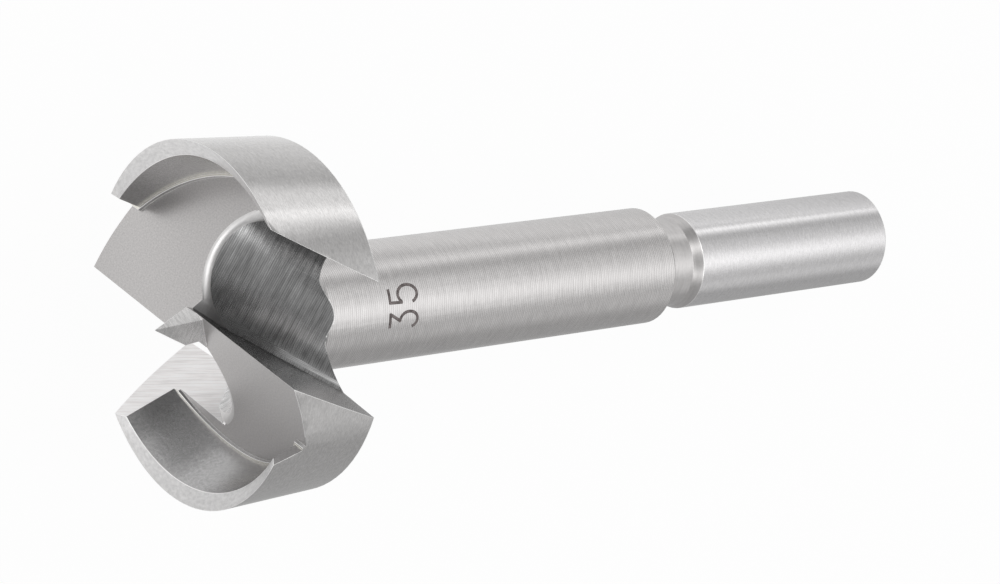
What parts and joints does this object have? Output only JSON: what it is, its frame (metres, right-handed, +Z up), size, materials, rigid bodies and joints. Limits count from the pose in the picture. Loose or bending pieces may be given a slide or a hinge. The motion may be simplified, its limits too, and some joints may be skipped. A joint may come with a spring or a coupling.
{
  "type": "forstner bit",
  "caption": "Steel forstner bit lying on its side, with a two-winged cutting head, a short centre point and a plain round shank.",
  "frame": {"origin": "middle of the footprint of the lying bit, on the surface it rests on", "axes": "+X from the shank towards the centre point along the floor, +Y across, +Z up"},
  "size_m": [0.0902, 0.035, 0.0344],
  "materials": {
    "steel": "satin ground and turned"
  },
  "bodies": {
    "root": {"forstner_bit": "steel"}
  },
  "joints": []
}
